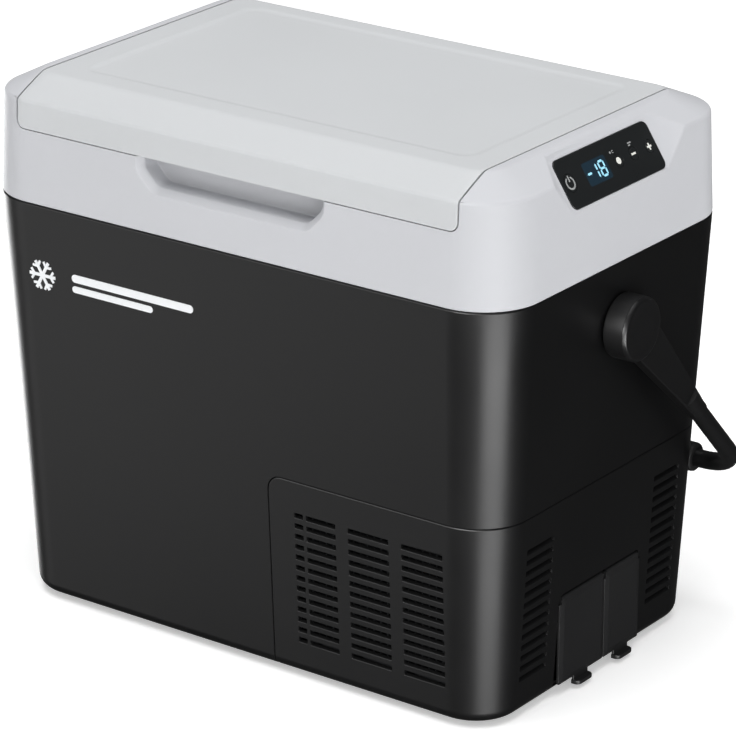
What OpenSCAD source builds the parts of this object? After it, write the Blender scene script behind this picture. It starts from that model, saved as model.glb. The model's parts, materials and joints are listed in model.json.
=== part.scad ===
/* [Body] */
// Length of the body at the parting line between casing and collar
body_len = 460; // [400:1:520]
// Width of the body at the parting line
body_wid = 300; // [280:1:340]
// Height of the parting line above the floor
part_z = 318; // [300:1:330]
// Wall thickness of the plastic shells
wall = 3; // [2.5:0.1:3.5]
// How far each end wall leans in from the parting line down to the floor
draft_x = 16.6; // [10:0.1:20]
// How far the front and back walls lean in from the parting line down to the floor
draft_y = 15.8; // [10:0.1:20]
// Corner radius at the parting line
corner_r = 45; // [30:1:55]
// Height of the rubber feet
foot_h = 3; // [2:0.5:4]

/* [Collar and lid] */
// Height of the crease under the sloping edge of the top
crease_z = 394; // [385:1:400]
// Height of the flat top
top_z = 408; // [402:1:414]
// Half length of the lid
lid_half = 192; // [185:1:195]
// Height of the gap line under the lid
gap_z = 372.5; // [370:0.5:376]
// Width of the gap between lid and collar
gap = 0.6; // [0.4:0.1:1]
// Half length of the finger recess at its top
recess_half = 78; // [60:1:90]
// Height of the bottom of the finger recess
recess_z = 352; // [346:1:358]
// Depth of the finger recess
recess_depth = 14; // [10:1:16]

/* [Food space] */
// Half length of the liner's mouth
liner_half = 176; // [165:1:178]
// Half width of the liner
liner_y = 105; // [95:1:108]
// Height of the deep section's floor
deep_z = 42; // [38:1:60]
// Height of the shelf over the compressor bay
shelf_z = 196; // [192:1:230]
// Where the deep section ends and the shelf begins
step_x = -5; // [-20:1:0]
// Thickness of the liner
liner_t = 2; // [1.5:0.1:2.5]

/* [Compressor bay] */
// Left edge of the compressor cover
bay_x = 27; // [25:1:35]
// Top edge of the compressor cover
bay_z = 156; // [150:1:158]
// Number of vent slots in a column
slot_rows = 13; // [8:1:13]
// Distance from one vent slot to the next
slot_pitch = 8.2; // [8:0.1:8.4]
// Height of a vent slot
slot_h = 4; // [3:0.1:5]

/* [Handle] */
// Height of the handle's pivot
pivot_z = 271; // [265:1:275]
// Distance from the pivot to the middle of the crossbar
handle_len = 220; // [214:1:230]
// How far below horizontal the handle rests
rest_angle = 46; // [44:1:50]
// Radius of the round hub
hub_r = 23.5; // [20:0.5:26]
// Outer face of the hub from the middle of the body
hub_out = 248.5; // [246:0.5:252]
// Radius of the grip sleeve
grip_r = 11; // [9:0.5:12]
// Radius of the handle tube
tube_r = 6.8; // [6:0.1:7.5]

/* [Control panel] */
// Tilt of the control panel from horizontal
panel_tilt = 56.5; // [50:0.5:60]
// Width of the black fascia
fascia_w = 117; // [110:1:120]
// Height of the black fascia along the slope
fascia_h = 36.5; // [34:0.5:38]
// Travel of a key
key_travel = 0.6; // [0.4:0.1:0.8]

/* [Hidden] */
$fn = 48;
eps = 0.02;
far = 600;
half_x = body_len / 2;
half_y = body_wid / 2;
corner_taper = 10;        // the corners are this much tighter at the floor
bottom_edge = 6;          // chamfer round the bottom edge
collar_lean = 3;          // how far the collar leans in up to the crease
top_half_x = 200;
top_front = 120;
top_back = 115;
top_corner = 20;
seam = 0.4;               // gap at the parting line
fit = 0.3;                // gap between neighbouring bodies
running = 0.05;           // radial clearance of a running fit
floor_z = foot_h + wall;
bay_corner = 12;
lid_corner = 6;
deck_z = gap_z - 0.3;     // top face of the deck under the lid
liner_corner = 20;

// rubber feet; the right-hand pair stands on the base pan
foot_x_at = 178;
foot_left_y = 98;
foot_right_y = 88;
foot_r = 13;
foot_hole_r = 4.2;

// screw bosses that hold the compressor cover to the base pan
boss_at = [[40, 118], [40, -118], [172, 118], [172, -118]];
boss_h = 16;
boss_r = 5;
cover_screw_r = 2;

// food space
light_len = 60;
light_z = 335;
wrap_z = 60;              // bottom of the evaporator
wrap_h = 110;
foam_t = 2.5;             // gap between liner and foam that the evaporator fills

// vents
slot_z = 29;
front_slots = [[50, 36], [97, 35], [143, 35]];
end_slots = [[-98, 33], [65, 33]];

// badge on the front
badge_x = -110;
badge_z = 264;
badge_t = 0.6;

// underside of the lid
plug_x = 170;             // half length of the plug that drops into the liner's mouth
plug_y = 99;
plug_z = 352;             // bottom of the plug
plug_h = 25;
plug_t = 2;
tray_z = plug_z + plug_h - 0.5;
gasket_in = [177, 108];
gasket_out = [186, 117];
sunk_x = 168;             // shallow panel sunk into the lid's top
sunk_y = 98;
sunk_depth = 1.2;

// magnetic catch
catch_x = 120;
catch_y = -127;
catch_r = 6;

// hinge
hinge_y = half_y + 3;
hinge_z = gap_z - 0.5;
hinge_x = 110;
hinge_len = 50;
knuckle_r = 4.5;
hinge_pin_r = 2;
middle_knuckle = 20;
collar_leaf = [346, 366]; // bottom and top of the leaf on the collar
lid_leaf = [hinge_z + knuckle_r + 1, 391];
lid_leaf_y = 147.75;      // the lid's wall behind its leaf
screw_x = 17;
screw_r = 1.6;
leaf_t = 2;
leaf_y = hinge_y - knuckle_r + 0.42;

// handle
shell_x = half_x - draft_x * (part_z - pivot_z) / part_z;   // end wall at the pivot's height
hub_in = half_x - draft_x * (part_z - pivot_z - hub_r) / part_z + 0.4;
bolt_r = 8;
bolt_head_r = 14;
bolt_head_x = 240.7;
bolt_head_t = 3.6;
bolt_shank_r = 6;         // the thinner end that sits in the plate
plate_half = 28;          // the steel plate behind the pivot is this far out each way
cap_t = 3;
arm_x = 241.5;            // middle plane of the arms
arm_in = 236;
taper_end = 118;
socket_end = 125;         // where the tube leaves the arm
spigot_start = 98;
spigot_r = 5;
bend_r = 35;
bar_r = 7.6;
grip_half = 202;

// control panel
panel_x = 217.2;
panel_z = 385.5;
pad_half = 60.5;
pad_flare = 1.7;          // run of the pocket's sloping sides for each mm of rise
pad_rise = 40;
fascia_t = 1.5;
fascia_proud = 0.8;
board_z = -7.8;           // top face of the circuit board, below the panel
board_t = 1.6;
stem_z = -5.2;            // bottom of a key's stem
power_at = -49.5;
digits_at = -14.5;
key_at = [10.5, 29.5, 49.5];
power_r = 6.5;
key_r = 4.8;

// sockets
socket_half = 52.4;
socket_lo = 8;
socket_hi = 79;
tray_x = 188;             // back of the recessed tray
tray_front = 211.5;
dc_at = [-24, 40];        // y and z of each socket in the tray
ac_at = [29, 46];
fuse_at = [29, 21];
dc_r = 12;
ac_r = 13;
fuse_r = 7;
socket_depth = 16;
cover_face = 218.6;
cover_t = 2.8;
cover_split = 5.8;
cover_pin_r = 1.1;
barrel_r = 2.4;
barrel_x = 215.4;
barrel_z = 75.2;
tab_reach = 222.6;
tab_w = 20;
ear_t = 2.4;
ear_x = 209;
ear_at = [-socket_half, cover_split - ear_t / 2, socket_half - ear_t];

// compressor bay contents
comp_x = 95;
comp_y = 25;
comp_r = 50;
foot_x = 52;              // the compressor's own feet, from its middle
foot_y = 46;
comp_bolt_r = 3;
driver = [154, 84, 24];   // low corner of the driver module's heat sink
cond_x = 42;              // low corner and size of the condenser
cond_y = -122;
cond_z = 24;
cond_len = 147.5;
cond_deep = 22;
cond_high = 114;
cond_plate = 1.5;
fin_count = 24;
fin_pitch = 6;
fan_x = 115;
fan_y = -85.5;
fan_z = 75;
fan_half = 60;
fan_bore = 57;
shaft_r = 3;

// half sizes of the casing at a height
function hx(z) = half_x - draft_x * (part_z - z) / part_z;
function hy(z) = half_y - draft_y * (part_z - z) / part_z;
function cr(z) = corner_r - corner_taper * (part_z - z) / part_z;

// ---------- shared shapes ----------

// flat rounded rectangle from (x0, y0) to (x1, y1)
module round_rect(x0, y0, x1, y1, r) {
    translate([x0 + r, y0]) square([x1 - x0 - 2 * r, y1 - y0]);
    translate([x0, y0 + r]) square([x1 - x0, y1 - y0 - 2 * r]);
    for (x = [x0 + r, x1 - r], y = [y0 + r, y1 - r]) translate([x, y]) circle(r);
}

// thin rounded layer whose top or bottom lies at height z
module layer(z, x, y0, y1, r) {
    translate([0, 0, z]) linear_extrude(eps) round_rect(-x, y0, x, y1, r);
}

// the casing's tapered volume with a chamfered and flat bottom, shrunk by inset on its sides
module casing(inset, z_top) {
    below = 2;
    edge = bottom_edge + below;
    knee = foot_h + bottom_edge;
    intersection() {
        hull() {
            layer(foot_h - below, hx(knee) - edge - inset, -hy(knee) + edge + inset,
                hy(knee) - edge - inset, cr(0) - edge - inset);
            layer(knee, hx(knee) - inset, -hy(knee) + inset, hy(knee) - inset, cr(0) - inset);
            layer(z_top - eps, hx(z_top) - inset, -hy(z_top) + inset, hy(z_top) - inset,
                cr(z_top) - inset);
        }
        translate([-far, -far, foot_h]) cube(2 * far);
    }
}

// the grey top's volume: leaning sides, then sloping facets up to the flat top
module top_volume(inset, z_low) {
    k = (z_low - part_z) / (crease_z - part_z) * collar_lean;
    hull() {
        layer(z_low, half_x - k - inset, -half_y + k + inset, half_y - k - inset, corner_r - inset);
        layer(crease_z - inset / 2, half_x - collar_lean - inset, -half_y + collar_lean + inset,
            half_y - collar_lean - inset, corner_r - 2 - inset);
        layer(top_z - inset - eps, top_half_x - inset / 2, -top_front + inset / 2,
            top_back - inset / 2, top_corner);
    }
}

// outline of the bay, seen from the front, grown by g
module bay_outline(g) {
    r = bay_corner + g;
    difference() {
        translate([bay_x - g, -1]) square([far, bay_z + g + 1]);
        translate([bay_x - g, bay_z + g - r]) difference() {
            square(r);
            translate([r, 0]) circle(r);
        }
    }
}

module along_y() { rotate([90, 0, 0]) children(); }

module bay(g) {
    translate([0, far / 2, 0]) along_y() linear_extrude(far) bay_outline(g);
}

// everything the lid needs, seen from the front, grown by g
module lid_region(g) {
    translate([0, far / 2, 0]) along_y() linear_extrude(far)
        round_rect(-lid_half - g, gap_z - g, lid_half + g, top_z + far, lid_corner + g);
}

// the liner's L-shaped volume, grown by g
module food_space(g, z_top) {
    translate([0, 0, deep_z - g]) linear_extrude(z_top - deep_z + g)
        round_rect(-liner_half - g, -liner_y - g, step_x + g, liner_y + g, liner_corner + g);
    translate([0, 0, shelf_z - g]) linear_extrude(z_top - shelf_z + g)
        round_rect(-liner_half - g, -liner_y - g, liner_half + g, liner_y + g, liner_corner + g);
}

// finger recess in the collar's front, grown by g
module recess(g) {
    c = 12;
    y_back = -half_y + collar_lean * 0.7 + recess_depth;
    translate([0, y_back + g, 0]) along_y() linear_extrude(far)
        polygon([[-recess_half - g, crease_z], [-recess_half - g, recess_z + c - g],
            [-recess_half + c - g, recess_z - g], [recess_half - c + g, recess_z - g],
            [recess_half + g, recess_z + c - g], [recess_half + g, crease_z]]);
}

// places children on the control panel: x runs down the slope, z points out
module on_panel() {
    translate([panel_x, 0, panel_z]) rotate([0, panel_tilt, 0]) children();
}

// pocket round the control panel, with flared sides, grown by g
module panel_cut(g) {
    low = pad_half + g * (sqrt(1 + pad_flare * pad_flare) - pad_flare);
    high = low + pad_flare * (pad_rise + g);
    on_panel() translate([-60, 0, 0]) rotate([90, 0, 90]) linear_extrude(130)
        polygon([[-low, -g], [low, -g], [high, pad_rise], [-high, pad_rise]]);
}

// flat plate lying on the control panel, from z0 to z1
module panel_plate(h, w, r, z0, z1) {
    on_panel() translate([0, 0, z0]) linear_extrude(z1 - z0)
        round_rect(-h / 2, -w / 2, h / 2, w / 2, r);
}

// both ends
module each_end() {
    children();
    mirror([1, 0, 0]) children();
}

// straight round bar between two points
module bar(a, b, r) {
    d = b - a;
    turn = atan2(d[1], d[0]);
    tip = atan2(norm([d[0], d[1]]), d[2]);
    translate(a) rotate([0, tip, turn]) cylinder(h = norm(d), r = r);
}

// pipe with round elbows through a list of points; every other run is a little thinner
module pipe(points, r) {
    for (i = [0:len(points) - 2]) bar(points[i], points[i + 1], r * (1 - 0.05 * (i % 2)));
    for (i = [1:len(points) - 2]) translate(points[i]) rotate([21, 34, 13]) sphere(r * 1.15);
}

// ---------- casing ----------

module outer_shell() {
    color("#2a2a2c") difference() {
        casing(0, part_z - seam);
        translate([0, 0, wall]) casing(wall, part_z + 1);
        bay(0);
        each_end() translate([half_x - 30, 0, pivot_z]) rotate([0, 90, 0])
            cylinder(h = 60, r = bolt_r + fit);
        for (y = [-1, 1]) translate([-foot_x_at, y * foot_left_y, 0]) cylinder(h = 20, r = foot_hole_r);
    }
}

module vent_slots() {
    for (row = [0:slot_rows - 1]) {
        z = slot_z + row * slot_pitch;
        for (s = front_slots) translate([s[0], -far / 2, z]) cube([s[1], far, slot_h]);
        for (s = end_slots) translate([half_x - 40, s[0], z]) cube([60, s[1], slot_h]);
    }
}

module compressor_cover() {
    color("#2a2a2c") difference() {
        union() {
            intersection() {
                difference() {
                    casing(0, part_z);
                    translate([0, 0, -eps]) casing(wall, part_z + 1);
                }
                bay(-seam);
            }
            for (b = boss_at) translate([b[0], b[1], floor_z + fit]) cylinder(h = boss_h, r = boss_r);
            for (b = boss_at) translate([b[0] - 1.5, b[1] > 0 ? b[1] : -hy(20) + 1, floor_z + fit])
                cube([3, hy(20) - 1 - abs(b[1]), boss_h]);
        }
        vent_slots();
        translate([half_x - 40, -socket_half - fit, socket_lo - fit])
            cube([60, 2 * (socket_half + fit), socket_hi - socket_lo + 2 * fit]);
        for (b = boss_at) translate([b[0], b[1], 0]) cylinder(h = 18, r = cover_screw_r + 0.1);
    }
}

module base_pan() {
    color("#3a3a3c") difference() {
        intersection() {
            casing(wall + fit, part_z);
            translate([bay_x + 1, -far, foot_h]) cube([far, 2 * far, wall]);
        }
        for (b = boss_at) translate([b[0], b[1], 0]) cylinder(h = 18, r = cover_screw_r + 0.6);
        for (y = [-1, 1]) translate([foot_x_at, y * foot_right_y, 0]) cylinder(h = 20, r = foot_hole_r);
        for (x = [-1, 1], y = [-1, 1]) translate([comp_x + x * foot_x, comp_y + y * foot_y, 0])
            cylinder(h = 20, r = comp_bolt_r + 0.1);
        for (i = [0:7]) translate([135 + i * 7, -60, 0]) cube([3, 40, 20]);
    }
}

module foot() {
    stem_r = foot_hole_r - 0.1;
    rotate_extrude() polygon([[0, 0], [foot_r - 1, 0], [foot_r, 1], [foot_r, foot_h], [stem_r, foot_h],
        [stem_r, floor_z + 0.1], [foot_hole_r + 1, floor_z + 0.1], [3.4, floor_z + 3], [0, floor_z + 3]]);
}

module rubber_feet() {
    color("#1c1c1c") {
        for (y = [-1, 1]) translate([-foot_x_at, y * foot_left_y, 0]) foot();
        for (y = [-1, 1]) translate([foot_x_at, y * foot_right_y, 0]) foot();
    }
}

module bulkhead() {
    color("#c8c8c8") intersection() {
        translate([0, 0, wall]) casing(wall + fit, part_z);
        union() {
            translate([bay_x - 4, -far, floor_z + fit]) cube([2, 2 * far, bay_z + 3 - floor_z]);
            translate([bay_x - 4, -far, bay_z + 2]) cube([far, 2 * far, 2]);
        }
    }
}

module foam_body() {
    color("#e8d79a") difference() {
        intersection() {
            translate([0, 0, wall]) casing(wall + fit, part_z + 30);
            translate([-far, -far, floor_z + fit]) cube([2 * far, 2 * far, part_z - floor_z - 9]);
        }
        translate([bay_x - 5, -far, 0]) cube([far, 2 * far, bay_z + 5]);
        food_space(liner_t + foam_t, part_z + 40);
        room = plate_half + 3;
        each_end() translate([half_x - 20, -room, pivot_z - room]) cube([30, 2 * room, 2 * room]);
        for (y = [-1, 1]) translate([-foot_x_at, y * foot_left_y, 0]) cylinder(h = 12, r = 6);
    }
}

// ---------- food space ----------

module inner_liner() {
    color("#dcdedf") difference() {
        union() {
            food_space(liner_t, deck_z - wall - 0.2);
            translate([0, 0, deck_z - wall - 0.2 - liner_t]) linear_extrude(liner_t)
                round_rect(-liner_half - 12, -liner_y - 12, liner_half + 12, liner_y + 12,
                    liner_corner + 10);
        }
        food_space(0, part_z + far);
    }
}

module evaporator_wrap() {
    color("#b9bcbf") difference() {
        translate([0, 0, wrap_z]) linear_extrude(wrap_h) difference() {
            wrap = liner_t + 2;
            round_rect(-liner_half - wrap, -liner_y - wrap, step_x + wrap, liner_y + wrap,
                liner_corner + wrap);
            round_rect(-liner_half - liner_t - 0.3, -liner_y - liner_t - 0.3,
                step_x + liner_t + 0.3, liner_y + liner_t + 0.3, liner_corner + liner_t + 0.3);
        }
    }
}

module interior_light() {
    color("#f4f4ea") translate([-light_len / 2, -liner_y + 0.2, light_z]) cube([light_len, 3, 12]);
}

// ---------- collar ----------

module top_collar() {
    color("#c8c9cc") difference() {
        union() {
            difference() {
                top_volume(0, part_z);
                difference() {
                    translate([0, 0, -1]) top_volume(wall, part_z);
                    lid_region(wall);
                    panel_cut(wall);
                    recess(2.5);
                }
            }
            // tongue that drops inside the casing
            intersection() {
                difference() {
                    casing(wall + fit, part_z);
                    casing(wall + fit + 2, part_z + 10);
                }
                translate([-far, -far, part_z - 8]) cube([2 * far, 2 * far, 9]);
            }
            // ledge that joins the tongue to the collar's wall
            translate([0, 0, part_z]) linear_extrude(2) difference() {
                round_rect(-half_x + 1, -half_y + 1, half_x - 1, half_y - 1, corner_r - 1);
                round_rect(-half_x + wall + 2, -half_y + wall + 2, half_x - wall - 2,
                    half_y - wall - 2, corner_r - wall - 2);
            }
        }
        difference() {
            lid_region(gap);
            translate([-far, -far, gap_z - 10]) cube([2 * far, 2 * far, 10 - 0.3]);
        }
        recess(0);
        panel_cut(0);
        translate([0, 0, crease_z - 60]) linear_extrude(60)
            round_rect(-liner_half + 2, -liner_y + 2, liner_half - 2, liner_y - 2, liner_corner);
        panel_plate(fascia_h + 0.6, fascia_w + 0.6, 5.3, -fascia_t - 0.2, 5);
        panel_plate(fascia_h - 8, fascia_w - 1, 3, -10, 5);
        for (s = [-1, 1]) translate([s * catch_x, catch_y, deck_z - 1.1]) cylinder(h = 5, r = catch_r + 0.2);
    }
}

// snowflake and two plain bars
module front_badge() {
    lean = atan(draft_y / part_z);
    color("#f2f2f2") translate([badge_x, -hy(badge_z) - 0.03, badge_z]) rotate([lean, 0, 0]) {
        translate([-62, 0, 0]) along_y() linear_extrude(badge_t) snowflake();
        along_y() linear_extrude(badge_t) round_rect(-34, 1, 77, 7, 2.9);
        along_y() linear_extrude(badge_t) round_rect(-34, -7, 40, -2, 2.4);
    }
}

module snowflake() {
    for (i = [0:2]) rotate(i * 60) square([24, 2.4], center = true);
    for (i = [0:5]) rotate(i * 60) translate([7.4, 0])
        for (t = [-55, 55]) rotate(t) translate([2.4, 0]) square([5, 1.8], center = true);
}

// steel plates under the lid's front edge that the magnets hold
module catch_plates() {
    color("#9a9ca0") for (s = [-1, 1])
        translate([s * catch_x, catch_y, deck_z - 1]) cylinder(h = 0.9, r = catch_r);
}

// ---------- lid ----------

module lid_outer() {
    color("#d0d2d4") difference() {
        intersection() {
            top_volume(0, part_z);
            lid_region(0);
            translate([-far, -far, gap_z + 0.3]) cube([2 * far, 2 * far, far]);
        }
        intersection() {
            translate([0, 0, -1]) top_volume(wall, part_z);
            translate([-lid_half + wall, -far, 0]) cube([2 * (lid_half - wall), 2 * far, 2 * far]);
        }
        // shallow sunken panel
        translate([0, 0, top_z - sunk_depth]) linear_extrude(10)
            round_rect(-sunk_x, -sunk_y, sunk_x, sunk_y, 10);
    }
}

module lid_inner() {
    color("#dcdedf") difference() {
        union() {
            translate([0, 0, plug_z]) linear_extrude(plug_h)
                round_rect(-plug_x, -plug_y, plug_x, plug_y, 16);
            translate([0, 0, tray_z]) linear_extrude(plug_t)
                round_rect(-lid_half + 4, -half_y + 8, lid_half - 4, half_y - 8, 8);
        }
        translate([0, 0, plug_z + plug_t]) linear_extrude(far)
            round_rect(-plug_x + plug_t, -plug_y + plug_t, plug_x - plug_t, plug_y - plug_t, 14);
        for (s = [-1, 1]) translate([s * catch_x, catch_y, gap_z]) cylinder(h = 10, r = catch_r + 0.2);
    }
}

module lid_foam() {
    color("#e8d79a") {
        inset = plug_t + 0.5;
        low = plug_z + plug_t + 0.2;
        high = tray_z + plug_t + 0.2;
        translate([0, 0, low]) linear_extrude(high - low)
            round_rect(-plug_x + inset, -plug_y + inset, plug_x - inset, plug_y - inset, 13);
        translate([0, 0, high]) linear_extrude(24.6) round_rect(-185, -100, 185, 98, 10);
    }
}

module lid_gasket() {
    color("#4a4c4e") translate([0, 0, gap_z + 0.1]) linear_extrude(3.8) difference() {
        round_rect(-gasket_out[0], -gasket_out[1], gasket_out[0], gasket_out[1], 28);
        round_rect(-gasket_in[0], -gasket_in[1], gasket_in[0], gasket_in[1], 20);
    }
}

module catch_magnets() {
    color("#8a8c90") for (s = [-1, 1])
        translate([s * catch_x, catch_y, gap_z + 1]) cylinder(h = 5.4, r = catch_r);
}

// ---------- hinges ----------

// one leaf: a plate against the wall and its knuckles, bored for the pin
module hinge_leaf(z0, z1, wall_y, knuckles, bore) {
    difference() {
        union() {
            translate([-hinge_len / 2, wall_y, z0]) cube([hinge_len, leaf_y + leaf_t - wall_y, z1 - z0]);
            for (k = knuckles) translate([k[0], hinge_y, hinge_z]) rotate([0, 90, 0])
                cylinder(h = k[1], r = knuckle_r);
            for (k = knuckles) translate([k[0], leaf_y, min(z0, hinge_z)])
                cube([k[1], leaf_t, max(z1, hinge_z) - min(z0, hinge_z)]);
        }
        translate([-far / 2, hinge_y, hinge_z]) rotate([0, 90, 0]) cylinder(h = far, r = bore);
        for (x = [-screw_x, screw_x]) translate([x, half_y - 30, (z0 + z1) / 2]) rotate([-90, 0, 0])
            cylinder(h = 60, r = screw_r + 0.5);
    }
}

side_knuckle = (hinge_len - middle_knuckle) / 2 - fit;

module hinge_collar_leaves() {
    color("#2a2a2c") for (s = [-1, 1]) translate([s * hinge_x, 0, 0])
        hinge_leaf(collar_leaf[0], collar_leaf[1], leaf_y, [[-hinge_len / 2, side_knuckle],
            [hinge_len / 2 - side_knuckle, side_knuckle]], hinge_pin_r + 0.01);
}

module hinge_lid_leaves() {
    color("#2a2a2c") for (s = [-1, 1]) translate([s * hinge_x, 0, 0])
        hinge_leaf(lid_leaf[0], lid_leaf[1], lid_leaf_y, [[-middle_knuckle / 2, middle_knuckle]],
            hinge_pin_r + running);
}

module hinge_pins() {
    color("#b0b2b4") for (s = [-1, 1])
        translate([s * hinge_x - hinge_len / 2, hinge_y, hinge_z]) rotate([0, 90, 0])
            cylinder(h = hinge_len, r = hinge_pin_r);
}

module hinge_screws(z) {
    color("#b0b2b4") for (s = [-1, 1], x = [-screw_x, screw_x])
        translate([s * hinge_x + x, leaf_y + leaf_t + 0.05, z]) rotate([90, 0, 0]) {
            cylinder(h = 12, r = screw_r);
            rotate([180, 0, 0]) cylinder(h = 1.4, r = 2 * screw_r + 0.2);
        }
}

module hinge_screws_collar() { hinge_screws((collar_leaf[0] + collar_leaf[1]) / 2); }
module hinge_screws_lid() { hinge_screws((lid_leaf[0] + lid_leaf[1]) / 2); }

// ---------- control panel ----------

module display_fascia() {
    color("#1e2020") difference() {
        panel_plate(fascia_h, fascia_w, 5, -fascia_t, fascia_proud);
        on_panel() translate([0, power_at, -10]) cylinder(h = 20, r = power_r + fit);
        on_panel() for (y = key_at) translate([0, y, -10]) cylinder(h = 20, r = key_r + fit);
    }
}

// tray behind the fascia
module display_housing() {
    color("#303234") difference() {
        panel_plate(fascia_h - 10, fascia_w - 10, 3, -12, -wall - 0.9);
        panel_plate(fascia_h - 13, fascia_w - 13, 2, -10.5, 0);
    }
}

module control_board() {
    color("#1f6b3a") panel_plate(fascia_h - 14, fascia_w - 14, 1, board_z - board_t, board_z);
    color("#303030") on_panel() for (y = concat([power_at], key_at))
        translate([-3, y - 2, board_z]) cube([6, 4, stem_z - key_travel - 0.4 - board_z]);
}

module lcd_module() {
    color("#20282c") on_panel() translate([-8, digits_at - 14, board_z + 0.2]) cube([16, 28, 5.8]);
}

module key(y, r) {
    on_panel() translate([0, y, 0]) {
        translate([0, 0, -2]) cylinder(h = 2 + fascia_proud - 0.05, r = r);
        translate([0, 0, -3]) cylinder(h = 1.2, r = r + 1.2);
        translate([0, 0, stem_z]) cylinder(h = 3, r = 2);
    }
}

module power_key() { color("#26282a") key(power_at, power_r); }
module set_key() { color("#26282a") key(key_at[0], key_r); }
module minus_key() { color("#26282a") key(key_at[1], key_r); }
module plus_key() { color("#26282a") key(key_at[2], key_r); }

// ---------- handle ----------

// swings children from straight out at +Y down to the resting angle
module at_rest() {
    translate([0, 0, pivot_z]) rotate([-rest_angle, 0, 0]) children();
}

// outline of one arm: a straight taper from the hub to the round end
module arm_outline() {
    lean = asin((hub_r - bar_r) / taper_end);
    c = cos(lean);
    n = sin(lean);
    circle(hub_r);
    translate([taper_end, 0]) circle(bar_r);
    polygon([[hub_r * n, hub_r * c], [taper_end + bar_r * n, bar_r * c],
        [taper_end + bar_r * n, -bar_r * c], [hub_r * n, -hub_r * c]]);
}

module handle_arm() {
    difference() {
        union() {
            translate([hub_in, 0, 0]) rotate([0, 90, 0]) cylinder(h = hub_out - cap_t - hub_in, r = hub_r);
            translate([arm_in, 0, 0]) rotate([90, 0, 90]) linear_extrude(hub_out - cap_t - arm_in)
                arm_outline();
            translate([arm_x, taper_end - 14, 0]) rotate([-90, 0, 0])
                cylinder(h = socket_end - taper_end + 14, r = bar_r);
        }
        rotate([0, 90, 0]) cylinder(h = far, r = bolt_r + running);
        translate([bolt_head_x, 0, 0]) rotate([0, 90, 0]) cylinder(h = far, r = bolt_head_r + 0.5);
        translate([arm_x, spigot_start - 0.3, 0]) rotate([-90, 0, 0])
            cylinder(h = far, r = spigot_r + 0.05);
    }
}

module handle_arm_right() { color("#1e1e20") at_rest() handle_arm(); }
module handle_arm_left() { color("#1e1e20") mirror([1, 0, 0]) at_rest() handle_arm(); }

// bent tube: two legs, two bends and the crossbar
module handle_tube() {
    color("#242426") at_rest() {
        each_end() {
            translate([arm_x, spigot_start, 0]) rotate([-90, 0, 0])
                cylinder(h = handle_len - bend_r - spigot_start, r = spigot_r);
            translate([arm_x, socket_end + 0.3, 0]) rotate([-90, 0, 0])
                cylinder(h = handle_len - bend_r - socket_end - 0.3, r = tube_r);
            translate([arm_x - bend_r, handle_len - bend_r, 0])
                rotate_extrude(angle = 90) translate([bend_r, 0]) circle(tube_r);
        }
        translate([-arm_x + bend_r, handle_len, 0]) rotate([0, 90, 0])
            cylinder(h = 2 * (arm_x - bend_r), r = tube_r);
    }
}

module handle_grip() {
    color("#1a1a1a") at_rest() translate([-grip_half, handle_len, 0]) rotate([0, 90, 0])
        difference() {
            cylinder(h = 2 * grip_half, r = grip_r);
            translate([0, 0, -1]) cylinder(h = 2 * grip_half + 2, r = tube_r + 0.05);
        }
}

module hub_caps() {
    color("#1e1e20") each_end() at_rest() translate([hub_out - cap_t, 0, 0]) rotate([0, 90, 0]) {
        cylinder(h = cap_t - 1, r = hub_r);
        translate([0, 0, cap_t - 1]) cylinder(h = 1, r1 = hub_r, r2 = hub_r - 1);
    }
}

module pivot_plates() {
    color("#9a9ca0") each_end() difference() {
        translate([shell_x - wall - 8, -plate_half, pivot_z - plate_half])
            cube([6, 2 * plate_half, 2 * plate_half]);
        translate([0, 0, pivot_z]) rotate([0, 90, 0]) cylinder(h = far, r = bolt_shank_r + 0.02);
    }
}

module pivot_bolts() {
    color("#b0b2b4") each_end() translate([0, 0, pivot_z]) rotate([0, 90, 0]) {
        translate([0, 0, shell_x - wall - 10]) cylinder(h = 9, r = bolt_shank_r);
        translate([0, 0, shell_x - wall - 1.8])
            cylinder(h = bolt_head_x + 0.5 - shell_x + wall + 1.8, r = bolt_r);
        translate([0, 0, bolt_head_x + 0.3]) cylinder(h = bolt_head_t, r = bolt_head_r);
    }
}

// ---------- sockets ----------

module socket_housing() {
    color("#242426") difference() {
        translate([tray_x, -socket_half, socket_lo])
            cube([tray_front - tray_x, 2 * socket_half, socket_hi - socket_lo]);
        for (s = [[-socket_half + 2, cover_split - 1.5], [cover_split + 1.5, socket_half - 2]])
            translate([tray_x + 2, s[0], socket_lo + 2])
                cube([60, s[1] - s[0], socket_hi - socket_lo - 4]);
        for (s = [[dc_at, dc_r], [ac_at, ac_r], [fuse_at, fuse_r]])
            translate([tray_x - 1, s[0][0], s[0][1]]) rotate([0, 90, 0]) cylinder(h = 4, r = s[1] + 0.1);
    }
    // ears that carry the covers' pins
    color("#242426") for (y = ear_at) difference() {
        translate([ear_x, y, barrel_z - 2.2]) cube([barrel_x + 2 - ear_x, ear_t, 4.4]);
        translate([barrel_x, -far / 2, barrel_z]) rotate([-90, 0, 0])
            cylinder(h = far, r = cover_pin_r + 0.01);
    }
}

// round socket at (y, z): a collared tube with its stub behind the tray
module socket_barrel(at, r) {
    translate([tray_x + 0.1, at[0], at[1]]) rotate([0, 90, 0]) difference() {
        union() {
            cylinder(h = socket_depth, r = r);
            translate([0, 0, -16]) cylinder(h = 16.1, r = r - 2);
            translate([0, 0, 2]) cylinder(h = 1.5, r = r + 2);
        }
        translate([0, 0, socket_depth - 12]) cylinder(h = 20, r = r - 2.5);
    }
}

module dc_socket() {
    color("#202022") socket_barrel(dc_at, dc_r);
    color("#b0b2b4") translate([tray_x + 2, dc_at[0], dc_at[1]]) rotate([0, 90, 0])
        cylinder(h = 12, r = 2);
}

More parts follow.
